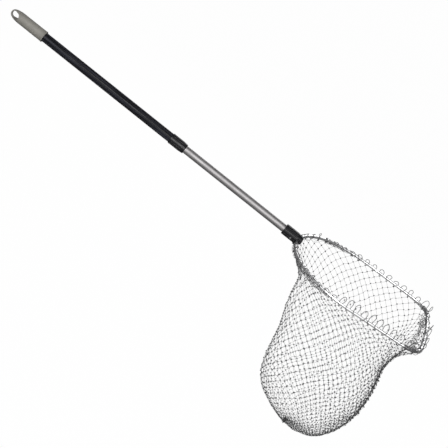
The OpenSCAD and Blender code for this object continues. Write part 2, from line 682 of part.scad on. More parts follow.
module bag_panel(sector, level) {
    n = len(panel_stops);
    last = n - 1;
    u0 = sector / bag_sectors;
    width = 1 / bag_sectors;
    t0 = foot_t * level / bag_levels + (level > 0 ? seam_t(u0, foot_t * level / bag_levels) : 0);
    t1 = foot_t * (level + 1) / bag_levels;
    height = t1 - seam_t(u0, t1) - t0;
    grid = [for (down = panel_stops, along = panel_stops)
        let (t = t0 + height * down, gap = seam_u(u0 + width * along, t))
        [u0 + gap + (width - 2 * gap) * along, t]];
    points = concat([for (g = grid) bag_at(g[0], g[1])], [for (g = grid) bag_in(g[0], g[1])]);
    // The inner points follow the outer ones in the same order
    inner = n * n;
    window = round_square(1, last - 1, n);
    rim = round_square(0, last, n);
    faces = concat(
        [for (j = [0 : last - 1], i = [0 : last - 1])
            if (min(i, j) == 0 || max(i, j) == last - 1) let (a = j * n + i, b = inner + a)
                each concat(quad(a, a + n, a + n + 1, a + 1), quad(b, b + 1, b + n + 1, b + n))],
        [for (k = [0 : len(window) - 1]) let (a = window[k], b = window[(k + 1) % len(window)])
            each quad(a, inner + a, inner + b, b)],
        [for (k = [0 : len(rim) - 1]) let (a = rim[k], b = rim[(k + 1) % len(rim)])
            each quad(a, b, inner + b, inner + a)]);
    polyhedron(points, faces);
}

// Round dish that closes the bag where its last meshes are drawn together
module bag_foot() {
    n = 2 * bag_sectors;
    t = foot_t + seam_t(0, foot_t);
    centre = bag_at(0, 1);
    points = concat(
        [for (i = [0 : n - 1]) bag_at(i / n, t)], [for (i = [0 : n - 1]) bag_in(i / n, t)],
        [centre, centre + [0, 0, bag_wall]]);
    faces = [for (i = [0 : n - 1]) let (k = (i + 1) % n) each concat(
        [[k, i, 2 * n], [n + i, n + k, 2 * n + 1]], quad(i, k, n + k, n + i))];
    polyhedron(points, faces);
}

// Knot that gathers the bag's last meshes
module gather_knot() {
    foot = bag_at(0, 1);
    color([0.35, 0.35, 0.36]) at_hoop() translate(foot - [0, 0, knot_d / 2 + pass_c]) {
        sphere(d = knot_d);
        rotate_extrude() translate([knot_d / 2 - twine_d / 4, 0]) circle(d = twine_d, $fn = fine_n);
    }
}

end_cap();
outer_tube();
thread_sleeve();
sleeve_pins();
split_collet();
lock_collar();
inner_tube();
guide_bush();
bush_pin();
spring_heel();
button_leaf();
snap_button();
yoke();
hoop_screws();
hoop();
hoop_dowel();
shoulder_bunches();
corner_lashings();
rim_loops();
net_bag();
gather_knot();
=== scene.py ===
import math

import bpy
import numpy as np
from mathutils import Matrix, Vector


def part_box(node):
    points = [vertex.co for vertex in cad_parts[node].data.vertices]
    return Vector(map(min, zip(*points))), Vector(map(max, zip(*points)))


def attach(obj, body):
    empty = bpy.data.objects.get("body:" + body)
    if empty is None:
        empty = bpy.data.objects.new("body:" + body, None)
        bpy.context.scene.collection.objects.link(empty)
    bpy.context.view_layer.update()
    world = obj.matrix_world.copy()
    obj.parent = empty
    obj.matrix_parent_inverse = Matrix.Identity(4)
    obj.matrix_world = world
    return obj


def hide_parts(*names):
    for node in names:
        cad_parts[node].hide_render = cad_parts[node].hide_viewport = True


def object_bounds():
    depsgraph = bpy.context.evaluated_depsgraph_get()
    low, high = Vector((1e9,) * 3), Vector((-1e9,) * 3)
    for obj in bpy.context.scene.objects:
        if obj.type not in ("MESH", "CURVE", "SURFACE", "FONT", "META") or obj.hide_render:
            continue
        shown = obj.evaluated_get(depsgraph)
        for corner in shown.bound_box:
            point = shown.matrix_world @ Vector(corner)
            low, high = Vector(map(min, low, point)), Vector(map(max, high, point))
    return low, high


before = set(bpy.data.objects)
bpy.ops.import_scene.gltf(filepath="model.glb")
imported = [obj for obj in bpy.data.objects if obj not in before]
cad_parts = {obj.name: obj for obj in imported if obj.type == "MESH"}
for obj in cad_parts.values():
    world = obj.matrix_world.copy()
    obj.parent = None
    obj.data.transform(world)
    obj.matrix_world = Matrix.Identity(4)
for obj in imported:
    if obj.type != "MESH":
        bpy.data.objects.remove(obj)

cad_box = [list(corner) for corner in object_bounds()]
MM = 0.001
NEAR, FAR = -1, 1
# One source for every random draw, so that each run gives the same net
rng = np.random.default_rng(11)


# ---------------------------------------------------------------- sizes and places

# Hoop, on its tube's centre line, as the solids have it
HOOP_TUBE = 9.5 * MM
HOOP_WALL = 1.0 * MM
ARM_HALF = 16 * MM
SIDE_TAPER = math.radians(4.8)
CORNER_R = 68 * MM
END_BOW = math.radians(5.6)
BUNCH_D = 15 * MM
# How far in front of the hoop's rear the bag's rim stays, to clear the yoke
YOKE_CLEAR = 8 * MM
# Gap between the bag's rim and what is bunched on the tube
PASS_GAP = 0.35 * MM

hoop_lo, hoop_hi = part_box("hoop")
HOOP_REACH = hoop_hi.x - hoop_lo.x - HOOP_TUBE
HOOP_RISE = hoop_hi.z - hoop_lo.z - HOOP_TUBE
HOOP_PITCH = math.atan2(HOOP_RISE, HOOP_REACH)
HOOP_L = math.hypot(HOOP_REACH, HOOP_RISE)
HOOP_W = hoop_hi.y - hoop_lo.y - HOOP_TUBE
HOOP_AT = np.array([hoop_lo.x + HOOP_TUBE / 2, 0.0, hoop_lo.z + HOOP_TUBE / 2])

SHOULDER_R = HOOP_W / 2 - ARM_HALF
SIDE_X = SHOULDER_R * (1 + math.sin(SIDE_TAPER))
SIDE_Y = ARM_HALF + SHOULDER_R * math.cos(SIDE_TAPER)
CORNER_IN_X = -math.sin(SIDE_TAPER) * CORNER_R
CORNER_IN_Y = -math.cos(SIDE_TAPER) * CORNER_R
BOW = (1 - math.cos(END_BOW)) / math.sin(END_BOW)
END_X0 = SIDE_X + CORNER_IN_X + CORNER_R * math.cos(END_BOW)
END_Y0 = SIDE_Y + CORNER_IN_Y + CORNER_R * math.sin(END_BOW)
SIDE_L = (HOOP_L - END_X0 - END_Y0 * BOW) / (math.cos(SIDE_TAPER) - math.sin(SIDE_TAPER) * BOW)
CORNER_X = SIDE_X + SIDE_L * math.cos(SIDE_TAPER) + CORNER_IN_X
CORNER_Y = SIDE_Y - SIDE_L * math.sin(SIDE_TAPER) + CORNER_IN_Y
END_R = (CORNER_Y + CORNER_R * math.sin(END_BOW)) / math.sin(END_BOW)
# Distances along the tube from the yoke's middle to where each stretch ends
RUN_ARM = ARM_HALF
RUN_SHOULDER = RUN_ARM + SHOULDER_R * (math.pi / 2 + SIDE_TAPER)
RUN_SIDE = RUN_SHOULDER + SIDE_L
RUN_CORNER = RUN_SIDE + CORNER_R * (math.pi / 2 - SIDE_TAPER - END_BOW)
RUN_END = RUN_CORNER + END_R * END_BOW
SHOULDER_END = 295 * MM

# Bag, from rim to gather: share of the depth, of the hoop's half length and half width,
# and of the hoop's length to the middle
BAG_STATIONS = np.array([
    [0.00, 1.00, 1.00, 0.500],
    [0.13, 0.82, 0.76, 0.528],
    [0.30, 0.76, 0.70, 0.538],
    [0.50, 0.74, 0.67, 0.590],
    [0.69, 0.71, 0.64, 0.612],
    [0.85, 0.59, 0.59, 0.623],
    [0.97, 0.29, 0.28, 0.670],
    [1.00, 0.00, 0.00, 0.624],
])
# Share of the depth from which the bag no longer follows the hoop's outline
ROUND_T = 0.45
BAG_TOP = -(BUNCH_D / 2 + PASS_GAP)
bag_lo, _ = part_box("net_bag")
foot_rise = BAG_STATIONS[-1, 3] * HOOP_L * math.sin(HOOP_PITCH)
BAG_DEPTH = (HOOP_AT[2] - bag_lo.z + foot_rise) / math.cos(HOOP_PITCH)

# Netting: the longest bar between two knots, the twine's radii, the knots' reach, and the
# number of half rows from the rim to the gather
BAR_L = 20.5 * MM
NET_R = 0.33 * MM
LASH_R = 0.75 * MM
TOP_MESH_R = 0.95 * MM
KNOT_R = 2.2 * MM
HALF_ROWS = 52
# Sides of the twine in the netting and its loose strands, and in the lashings and top meshes
FINE_SIDES, THICK_SIDES = 5, 6


def to_row(points):
    """Points of the hoop's own frame, in the row frame."""
    points = np.asarray(points, float)
    c, s = math.cos(HOOP_PITCH), math.sin(HOOP_PITCH)
    x, y, z = points[..., 0], points[..., 1], points[..., 2]
    return np.stack([x * c - z * s, y, x * s + z * c], axis=-1) + HOOP_AT


def rim_at(s):
    """Place and heading on the hoop, s along it from the yoke; negative is the near side."""
    s = np.asarray(s, float)
    side = np.where(s < 0, -1.0, 1.0)
    d = np.minimum(np.abs(s), RUN_END)
    a_shoulder = (d - RUN_ARM) / SHOULDER_R
    a_corner = SIDE_TAPER + (d - RUN_SIDE) / CORNER_R
    a_end = END_BOW - (d - RUN_CORNER) / END_R
    along = d - RUN_SHOULDER
    where = [d < RUN_ARM, d < RUN_SHOULDER, d < RUN_SIDE, d < RUN_CORNER]
    x = np.select(where, [
        0 * d,
        SHOULDER_R * (1 - np.cos(a_shoulder)),
        SIDE_X + along * math.cos(SIDE_TAPER),
        CORNER_X + CORNER_R * np.sin(a_corner)],
        HOOP_L - END_R + END_R * np.cos(a_end))
    y = np.select(where, [
        d,
        ARM_HALF + SHOULDER_R * np.sin(a_shoulder),
        SIDE_Y - along * math.sin(SIDE_TAPER),
        CORNER_Y + CORNER_R * np.cos(a_corner)],
        END_R * np.sin(a_end))
    turn = np.select(where, [
        0 * d + math.pi / 2,
        math.pi / 2 - a_shoulder,
        0 * d - SIDE_TAPER,
        -a_corner],
        a_end - math.pi / 2)
    return x, side * y, side * np.cos(turn), np.sin(turn)


def rim_frame(s):
    """Point, heading, outward and up directions on the hoop's centre line, in its own frame."""
    x, y, tx, ty = rim_at(s)
    zero = 0 * x
    point = np.stack([x, y, zero], axis=-1)
    heading = np.stack([tx, ty, zero], axis=-1)
    outward = np.stack([-ty, tx, zero], axis=-1)
    middle = np.array([HOOP_L / 2, 0.0, 0.0])
    flip = np.sign(np.sum(outward * (point - middle), axis=-1, keepdims=True))
    up = np.zeros_like(point)
    up[..., 2] = 1.0
    return point, heading, outward * flip, up


def smooth_row(t, column):
    """Value of one column of the bag's stations at shares t of the way down."""
    rows = BAG_STATIONS[:, column]
    last = len(rows) - 1
    f = np.clip(t, 0, 1) * last
    i = np.minimum(f.astype(int), last - 1)
    before, after = rows[np.maximum(i - 1, 0)], rows[np.minimum(i + 2, last)]
    return catmull_rom(before, rows[i], rows[i + 1], after, f - i)


def catmull_rom(a, b, c, d, u):
    """Value at share u of the way from b to c, on the smooth curve through a, b, c and d."""
    return b + 0.5 * u * ((c - a) + u * ((2 * a - 5 * b + 4 * c - d) + u * (3 * (b - c) + d - a)))


def ease(t):
    """0 up to t = 0, 1 from t = 1, and smooth between them."""
    t = np.clip(t, 0, 1)
    return t * t * (3 - 2 * t)


def bag_at(u, t):
    """Point of the bag's wall, u once round from the yoke and t from the rim to the gather."""
    u = np.mod(u, 1.0)
    s = np.where(u <= 0.5, 2 * u, 2 * u - 2) * RUN_END
    x, y, _, _ = rim_at(s)
    rim_x = np.maximum(x, YOKE_CLEAR) / (HOOP_L / 2) - 1
    rim_y = y / (HOOP_W / 2)
    w = ease(t / ROUND_T)
    ex = (1 - w) * rim_x - w * np.cos(2 * math.pi * u)
    ey = (1 - w) * rim_y + w * np.sin(2 * math.pi * u)
    k = HOOP_L * smooth_row(t, 3)
    return np.stack([
        k + ex * HOOP_L / 2 * smooth_row(t, 1),
        ey * HOOP_W / 2 * smooth_row(t, 2),
        BAG_TOP - (BAG_DEPTH + BAG_TOP) * smooth_row(t, 0)], axis=-1)


# ---------------------------------------------------------------- mesh helpers

def unit(v):
    return v / np.maximum(np.linalg.norm(v, axis=-1, keepdims=True), 1e-12)


def new_piece(name, verts, face_groups, body, material, ply=None):
    """One smooth mesh object from vertices, groups of faces of equal size and twine coordinates."""
    mesh = bpy.data.meshes.new(name)
    groups = [np.asarray(g, np.int32) for g in face_groups if len(g)]
    sizes = np.concatenate([np.full(len(g), g.shape[1], np.int32) for g in groups])
    corners = np.concatenate([g.ravel() for g in groups])
    mesh.vertices.add(len(verts))
    mesh.vertices.foreach_set("co", np.asarray(verts, np.float32).ravel())
    mesh.loops.add(len(corners))
    mesh.loops.foreach_set("vertex_index", corners)
    mesh.polygons.add(len(sizes))
    loop_starts = np.concatenate([[0], np.cumsum(sizes)[:-1]])
    mesh.polygons.foreach_set("loop_start", loop_starts.astype(np.int32))
    mesh.polygons.foreach_set("loop_total", sizes)
    mesh.update(calc_edges=True)
    mesh.validate()
    mesh.polygons.foreach_set("use_smooth", np.full(len(mesh.polygons), True))
    if ply is not None:
        layer = mesh.attributes.new("ply", "FLOAT_VECTOR", "POINT")
        layer.data.foreach_set("vector", np.asarray(ply[:, :3], np.float32).ravel())
        layer = mesh.attributes.new("tied", "FLOAT", "POINT")
        layer.data.foreach_set("value", np.asarray(ply[:, 3], np.float32))
    piece = bpy.data.objects.new(name, mesh)
    bpy.context.scene.collection.objects.link(piece)
    mesh.materials.append(material)
    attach(piece, body)
    return piece


def frames_along(paths, closed):
    """Two directions across the paths at each of their points, which turn as little as they can."""
    count = paths.shape[1]
    if closed:
        ahead, behind = np.roll(paths, -1, axis=1), np.roll(paths, 1, axis=1)
    else:
        ahead = np.concatenate([paths[:, 1:], paths[:, -1:]], axis=1)
        behind = np.concatenate([paths[:, :1], paths[:, :-1]], axis=1)
    tangent = unit(ahead - behind)
    first = tangent[:, 0]
    aside = np.where(np.abs(first[:, 2:3]) < 0.8, [[0.0, 0.0, 1.0]], [[1.0, 0.0, 0.0]])
    normal = np.empty_like(paths)
    normal[:, 0] = unit(np.cross(first, aside))
    for k in range(1, count):
        n = normal[:, k - 1]
        normal[:, k] = unit(n - np.sum(n * tangent[:, k], axis=-1, keepdims=True) * tangent[:, k])
    if closed:
        n = unit(normal[:, -1] - np.sum(normal[:, -1] * first, axis=-1, keepdims=True) * first)
        cosine = np.sum(n * normal[:, 0], axis=-1)
        sine = np.sum(np.cross(n, normal[:, 0]) * first, axis=-1)
        twist = np.arctan2(sine, cosine)[:, None] * np.arange(count)[None, :] / count
        other = np.cross(tangent, normal)
        normal = normal * np.cos(twist)[..., None] + other * np.sin(twist)[..., None]
    return normal, np.cross(tangent, normal)


def tube_parts(paths, radius, sides, closed=False):
    """Vertices, faces and twine coordinates of round tubes along paths with as many points each.

    The coordinates are the way along, two places round the twine, and 1 where it is tied in a knot.
    """
    paths = np.asarray(paths, float)
    tubes, count, _ = paths.shape
    normal, across = frames_along(paths, closed)
    angle = 2 * math.pi * np.arange(sides) / sides
    cosines, sines = np.cos(angle)[:, None], np.sin(angle)[:, None]
    ring = normal[:, :, None, :] * cosines + across[:, :, None, :] * sines
    radius = np.broadcast_to(np.asarray(radius, float), (tubes, count))
    verts = (paths[:, :, None, :] + ring * radius[:, :, None, None]).reshape(-1, 3)
    index = np.arange(tubes * count * sides).reshape(tubes, count, sides)
    here = index if closed else index[:, :-1]
    following = np.roll(index, -1, axis=1) if closed else index[:, 1:]
    corners = [here, np.roll(here, -1, axis=2), np.roll(following, -1, axis=2), following]
    faces = [np.stack(corners, axis=-1).reshape(-1, 4)]
    if not closed:
        faces.append(index[:, 0, ::-1].reshape(-1, sides))
        faces.append(index[:, -1].reshape(-1, sides))
    step = np.linalg.norm(np.diff(paths, axis=1), axis=-1)
    along = np.concatenate([np.zeros((tubes, 1)), np.cumsum(step, axis=1)], axis=1)
    ply = np.stack([
        np.broadcast_to(along[:, :, None], (tubes, count, sides)),
        np.broadcast_to(np.cos(angle), (tubes, count, sides)),
        np.broadcast_to(np.sin(angle), (tubes, count, sides)),
        np.zeros((tubes, count, sides))], axis=-1).reshape(-1, 4)
    return verts, faces, ply


def join_parts(parts):
    """Several (vertices, faces, twine coordinates) made into one."""
    verts, plies, by_size, start = [], [], {}, 0
    for v, faces, ply in parts:
        verts.append(v)
        plies.append(ply)
        for group in faces:
            if len(group):
                by_size.setdefault(group.shape[1], []).append(group + start)
        start += len(v)
    groups = [np.concatenate(g) for g in by_size.values()]
    return np.concatenate(verts), groups, np.concatenate(plies)


def curve_through(points, steps, closed=False):
    """Smooth curves through points of shape (curves, count, 3), with steps pieces between them."""
    points = np.asarray(points, float)
    count = points.shape[1]
    out = []
    for i in range(count if closed else count - 1):
        if closed:
            a, b, c, d = (points[:, (i + k) % count] for k in (-1, 0, 1, 2))
        else:
            a, b, c, d = (points[:, min(max(i + k, 0), count - 1)] for k in (-1, 0, 1, 2))
        for u in np.arange(steps) / steps:
            out.append(catmull_rom(a, b, c, d, u))
    if not closed:
        out.append(points[:, -1])
    return np.stack(out, axis=1)


# ---------------------------------------------------------------- materials

# Length of twine in which its plies go once round
TWIST_PITCH = 3.2 * MM


def start_material(name, color, roughness, metallic=0.0):
    """A new material with its tree and shader, at plain values that the nodes then vary."""
    mat = bpy.data.materials.new(name)
    mat.use_nodes = True
    tree = mat.node_tree
    shader = tree.nodes["Principled BSDF"]
    shader.inputs["Base Color"].default_value = (*color, 1)
    shader.inputs["Roughness"].default_value = roughness
    shader.inputs["Metallic"].default_value = metallic
    return mat, tree, shader


def node(tree, kind, **values):
    """A new node, with each value set on the node itself or on its input of that name."""
    made = tree.nodes.new(kind)
    for key, value in values.items():
        if hasattr(made, key):
            setattr(made, key, value)
        else:
            made.inputs[key.replace("_", " ")].default_value = value
    return made


def stretched_noise(tree, scale, stretch=(1, 1, 1), detail=4.0):
    """Noise over the piece's own coordinates, in metres, drawn out along an axis by stretch."""
    coords = node(tree, "ShaderNodeTexCoord")
    mapping = node(tree, "ShaderNodeMapping")
    mapping.inputs["Scale"].default_value = stretch
    noise = node(tree, "ShaderNodeTexNoise", Scale=scale, Detail=detail, Roughness=0.6)
    tree.links.new(coords.outputs["Object"], mapping.inputs["Vector"])
    tree.links.new(mapping.outputs["Vector"], noise.inputs["Vector"])
    return noise.outputs["Fac"]


def color_by(tree, factor, low, high, start=0.3, end=0.7):
    """A colour that goes from low to high as the factor goes from start to end."""
    ramp = node(tree, "ShaderNodeValToRGB")
    ramp.color_ramp.elements[0].position = start
    ramp.color_ramp.elements[0].color = (*low, 1)
    ramp.color_ramp.elements[1].position = end
    ramp.color_ramp.elements[1].color = (*high, 1)
    tree.links.new(factor, ramp.inputs["Fac"])
    return ramp.outputs["Color"]


def range_by(tree, factor, low, high):
    """A number that goes from low to high over the middle of the noise's range."""
    spread = node(tree, "ShaderNodeMapRange")
    spread.inputs["From Min"].default_value = 0.3
    spread.inputs["From Max"].default_value = 0.7
    spread.inputs["To Min"].default_value = low
    spread.inputs["To Max"].default_value = high
    tree.links.new(factor, spread.inputs["Value"])
    return spread.outputs["Result"]


def add_bump(tree, shader, height, distance, strength):
    bump = node(tree, "ShaderNodeBump", Strength=strength, Distance=distance)
    tree.links.new(height, bump.inputs["Height"])
    tree.links.new(bump.outputs["Normal"], shader.inputs["Normal"])


def shade(color, factor):
    """The colour, darker below a factor of 1 and lighter above it."""
    return tuple(min(1.0, c * factor) for c in color)


def vary(tree, shader, mottle, color, spread, rub, roughness, scuff):
    """Lets mottle vary the colour by a share of it, and rub the roughness by scuff either way."""
    mottled = color_by(tree, mottle, shade(color, 1 - spread), shade(color, 1 + spread))
    tree.links.new(mottled, shader.inputs["Base Color"])
    rubbed = range_by(tree, rub, roughness - scuff[0], roughness + scuff[1])
    tree.links.new(rubbed, shader.inputs["Roughness"])


def moulded_plastic(name, color, roughness, spread=0.12, sheen=0.5):
    """Moulded plastic: fine spark-eroded grain, faint mottling and scuffs."""
    mat, tree, shader = start_material(name, color, roughness)
    shader.inputs["Specular IOR Level"].default_value = sheen
    mottle = stretched_noise(tree, 45)
    rub = stretched_noise(tree, 160, (0.35, 1, 1), 6)
    vary(tree, shader, mottle, color, spread, rub, roughness, (0.08, 0.08))
    add_bump(tree, shader, stretched_noise(tree, 2600, detail=2), 0.05 * MM, 0.5)
    return mat


def drawn_metal(name, color, roughness, lines=900, spread=0.06, metallic=1.0):
    """Drawn metal: die lines along the handle and small changes of gloss."""
    mat, tree, shader = start_material(name, color, roughness, metallic)
    die = stretched_noise(tree, lines, (0.02, 1, 1), 3)
    rub = stretched_noise(tree, 70, (0.4, 1, 1), 6)
    vary(tree, shader, die, color, spread, rub, roughness, (0.06, 0.07))
    add_bump(tree, shader, die, 0.02 * MM, 0.35)
    return mat


def coated_tube(name, color, rib_highlight):
    """Black coated tube: satin coat, with pale streaks drawn out along the ribs, painted as the
    ribs' highlights.
    """
    mat, tree, shader = start_material(name, color, 0.4)
    shader.inputs["Specular IOR Level"].default_value = 0.14
    # This stretched noise places the ribs' painted highlights, which the ramp below paints as pale
    # streaks on the near-black coat
    rub = stretched_noise(tree, 190, (0.03, 1, 1), 3)
    coat_and_rib_highlights = color_by(tree, rub, shade(color, 0.6), rib_highlight, 0.42, 0.72)
    tree.links.new(coat_and_rib_highlights, shader.inputs["Base Color"])
    gloss = stretched_noise(tree, 90, (0.2, 1, 1), 5)
    tree.links.new(range_by(tree, gloss, 0.32, 0.5), shader.inputs["Roughness"])
    add_bump(tree, shader, stretched_noise(tree, 3200, detail=2), 0.02 * MM, 0.4)
    return mat


def ply_stripe(tree):
    """1 along the crests of a twine's plies and -1 in the grooves between them."""
    ply = node(tree, "ShaderNodeAttribute", attribute_name="ply")
    parts = node(tree, "ShaderNodeSeparateXYZ")
    tree.links.new(ply.outputs["Vector"], parts.inputs["Vector"])
    phase = node(tree, "ShaderNodeMath", operation="MULTIPLY")
    phase.inputs[1].default_value = 2 * math.pi / TWIST_PITCH
    tree.links.new(parts.outputs["X"], phase.inputs[0])
    terms = []
    for wave, around in (("SINE", "Y"), ("COSINE", "Z")):
        turn = node(tree, "ShaderNodeMath", operation=wave)
        tree.links.new(phase.outputs[0], turn.inputs[0])
        term = node(tree, "ShaderNodeMath", operation="MULTIPLY")
        tree.links.new(turn.outputs[0], term.inputs[0])
        tree.links.new(parts.outputs[around], term.inputs[1])
        terms.append(term.outputs[0])
    stripe = node(tree, "ShaderNodeMath", operation="ADD")
    tree.links.new(terms[0], stripe.inputs[0])
    tree.links.new(terms[1], stripe.inputs[1])
    return stripe.outputs[0]


def twisted_twine(name, color, tied):
    """Twisted nylon twine: slanting plies with painted shade in their grooves and painted highlight
    on their crests, fuzz and dirt, and painted shade on the knots.
    """
    mat, tree, shader = start_material(name, color, 0.62)
    stripe = ply_stripe(tree)
    dirt = stretched_noise(tree, 180, detail=5)
    # Ply stripe plus noise: painted shade in the ply grooves and painted highlight on the crests,
    # with dirt from the noise
    ply_shade_and_dirt = node(tree, "ShaderNodeMath", operation="MULTIPLY_ADD")
    ply_shade_and_dirt.inputs[1].default_value = 0.35
    tree.links.new(stripe, ply_shade_and_dirt.inputs[0])
    tree.links.new(dirt, ply_shade_and_dirt.inputs[2])
    knotted = node(tree, "ShaderNodeAttribute", attribute_name="tied")
    mix = node(tree, "ShaderNodeMix", data_type="RGBA")
    tree.links.new(knotted.outputs["Fac"], mix.inputs["Factor"])
    blend = ply_shade_and_dirt.outputs[0]
    # Free twine takes the painted groove shade and crest highlight; knots take the dark tied
    # colour, a painted shade
    free_color = color_by(tree, blend, shade(color, 0.55), shade(color, 1.5), 0.05, 0.95)
    knot_shade_color = color_by(tree, blend, shade(tied, 0.6), shade(tied, 1.6), 0.05, 0.95)
    # A colour mix has its two colours at inputs 6 and 7 and its result at output 2
    tree.links.new(free_color, mix.inputs[6])
    tree.links.new(knot_shade_color, mix.inputs[7])
    tree.links.new(mix.outputs[2], shader.inputs["Base Color"])
    add_bump(tree, shader, stripe, 0.12 * MM, 0.6)
    shader.inputs["Sheen Weight"].default_value = 0.25
    shader.inputs["Sheen Roughness"].default_value = 0.5
    return mat


def turned_wood(name, color):
    """Plain hardwood dowel: rings drawn out along the grain."""
    mat, tree, shader = start_material(name, color, 0.6)
    grain = stretched_noise(tree, 500, (1, 0.06, 1), 6)
    rings = color_by(tree, grain, shade(color, 0.6), shade(color, 1.15))
    tree.links.new(rings, shader.inputs["Base Color"])
    add_bump(tree, shader, grain, 0.05 * MM, 0.5)
    return mat


CAP_GREY = moulded_plastic("cap_grey", (0.225, 0.216, 0.195), 0.6, sheen=0.3)
# The last colour is the painted highlight on the tube's ribs
BLACK_COAT = coated_tube("black_coat", (0.003, 0.003, 0.0045), (0.03, 0.031, 0.042))
BLACK_MOULD = moulded_plastic("black_mould", (0.006, 0.006, 0.0075), 0.42, spread=0.3, sheen=0.35)
INNER_MOULD = moulded_plastic("inner_mould", (0.03, 0.03, 0.032), 0.5, spread=0.2)
NYLON = moulded_plastic("natural_nylon", (0.66, 0.65, 0.60), 0.45, spread=0.05)
SATIN_TUBE = drawn_metal("satin_tube", (0.372, 0.362, 0.364), 0.6)
BRIGHT_TUBE = drawn_metal("bright_tube", (0.96, 0.96, 0.965), 0.34, 1400, 0.03, metallic=0.85)
STEEL = drawn_metal("plain_steel", (0.60, 0.60, 0.61), 0.3, lines=1800)
PLATED = drawn_metal("plated_button", (0.93, 0.93, 0.93), 0.16, lines=2200, spread=0.02)
DOWEL_WOOD = turned_wood("dowel_wood", (0.50, 0.34, 0.17))
# Each twine's last colour is the painted shade of its knots
NET_TWINE = twisted_twine("net_twine", (0.13, 0.13, 0.135), (0.012, 0.012, 0.013))
DARK_TWINE = twisted_twine("dark_twine", (0.08, 0.08, 0.084), (0.03, 0.03, 0.032))

NODE_MATERIALS = {
    "end_cap": CAP_GREY,
    "outer_tube": BLACK_COAT,
    "thread_sleeve": INNER_MOULD,
    "sleeve_pins": STEEL,
    "split_collet": NYLON,
    "lock_collar": BLACK_MOULD,
    "inner_tube": SATIN_TUBE,
    "guide_bush": INNER_MOULD,
    "bush_pin": STEEL,
    "spring_heel": STEEL,
    "button_leaf": STEEL,
    "snap_button": PLATED,
    "yoke": BLACK_MOULD,
    "hoop_screws": STEEL,
    "hoop_dowel": DOWEL_WOOD,
}


def dress_nodes():
    """Gives every solid that stays in view its material."""
    for name, material in NODE_MATERIALS.items():
        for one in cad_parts[name].material_slots:
            one.material = material


# ---------------------------------------------------------------- hoop

def make_hoop():
    """The bent tube, smooth all round, with its two ends under the yoke."""
    half_gap = 0.15 * MM
    sides = 28
    # Each stretch of the tube, and the number of points that it needs
    stretches = [
        (half_gap, RUN_ARM, 6), (RUN_ARM, RUN_SHOULDER, 90), (RUN_SHOULDER, RUN_SIDE, 12),
        (RUN_SIDE, RUN_CORNER, 24), (RUN_CORNER, RUN_END, 20),
    ]
    half = np.concatenate([np.linspace(a, b, n)[:-1] for a, b, n in stretches] + [[RUN_END]])
    x, y, _, _ = rim_at(np.concatenate([half, -half[-2::-1]]))
    path = to_row(np.stack([x, y, 0 * x], axis=-1))
    outer, outer_faces, _ = tube_parts([path], HOOP_TUBE / 2, sides)
    inner, inner_faces, _ = tube_parts([path], HOOP_TUBE / 2 - HOOP_WALL, sides)
    count = len(outer)
    first = np.arange(sides)
    last = first + count - sides
    rims = []
    for ring, flip in ((first, True), (last, False)):
        quad = np.stack([ring, np.roll(ring, -1), np.roll(ring, -1) + count, ring + count], axis=-1)
        rims.append(quad[:, ::-1] if flip else quad)
    verts = np.concatenate([outer, inner])
    faces = [outer_faces[0], inner_faces[0][:, ::-1] + count] + rims
    piece = new_piece("hoop_tube", verts, faces, "head", BRIGHT_TUBE)
    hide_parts("hoop")


# ---------------------------------------------------------------- netting

# Shares of the way down at which the first and the last knots hang
FIRST_T, LAST_T = 0.004, 0.985
# Share of the way down at which every column has come to the middle of its own room
ROOM_T = 0.42
# Places down each column at which its length is measured
FINE = 200
# Rounds in which the bars are pulled taut, and the most that a knot moves along u and t in each
ROUNDS = 120
MOST_U, MOST_T = 0.004, 0.008
# A step of u or t, small enough to give the wall's direction
STEP = 1e-4
# Folds all over the wall: height in millimetres, count round the bag, slant and start
FOLDS = [(1.0, 9, 5, 0), (0.6, 17, -7, 1.3), (0.8, 5, 11, 0)]


def zone_marks(start, end, pitch):
    """Even marks from start to end, as near to pitch apart as a whole number of them allows."""
    count = max(1, round((end - start) / pitch))
    return start + (np.arange(count) + 0.5) * (end - start) / count


def side_marks(shoulder_pitch, side_pitch, side_room):
    """Where one side's top knots hang along the tube, and how much room each column takes below."""
    # Start, end and pitch of each zone, and its columns' room
    zones = [
        (14 * MM, 45 * MM, 31 * MM, 1.15),
        (45 * MM, SHOULDER_END, shoulder_pitch, 1.15),
        (SHOULDER_END, RUN_SIDE, side_pitch, side_room),
        (RUN_SIDE, RUN_CORNER, 31 * MM, 0.7),
        (RUN_CORNER, RUN_END, 37 * MM, 0.5),
    ]
    marks = [zone_marks(start, end, pitch) for start, end, pitch, _ in zones]
    room = [np.full(len(m), zone[3]) for m, zone in zip(marks, zones)]
    return np.concatenate(marks), np.concatenate(room)


FAR_MARKS, FAR_ROOM = side_marks(35 * MM, 29 * MM, 0.88)
NEAR_MARKS, NEAR_ROOM = side_marks(31 * MM, 26 * MM, 0.78)
COLUMN_S = np.concatenate([FAR_MARKS, -NEAR_MARKS[::-1]])
COLUMN_ROOM = np.concatenate([FAR_ROOM, NEAR_ROOM[::-1]])
COLUMNS = len(COLUMN_S)


def column_ways(t):
    """u of every column at shares t down the wall, from its mark on the hoop to its own room."""
    rim_u = np.where(COLUMN_S >= 0, COLUMN_S, 2 * RUN_END + COLUMN_S) / (2 * RUN_END)
    body_u = (np.cumsum(COLUMN_ROOM) - COLUMN_ROOM / 2) / COLUMN_ROOM.sum()
    blend = ease(t / ROOM_T)
    return (1 - blend) * rim_u + blend * body_u


def row_shares():
    """Shares of a column's length at which its half rows hang, closer together near the gather."""
    share = np.linspace(0, 1, FINE)
    crowd = np.cumsum(1 + 0.6 * ease((share - 0.5) / 0.35))
    rows = np.arange(HALF_ROWS + 1) / HALF_ROWS
    return np.interp(rows, (crowd - crowd[0]) / (crowd[-1] - crowd[0]), share)


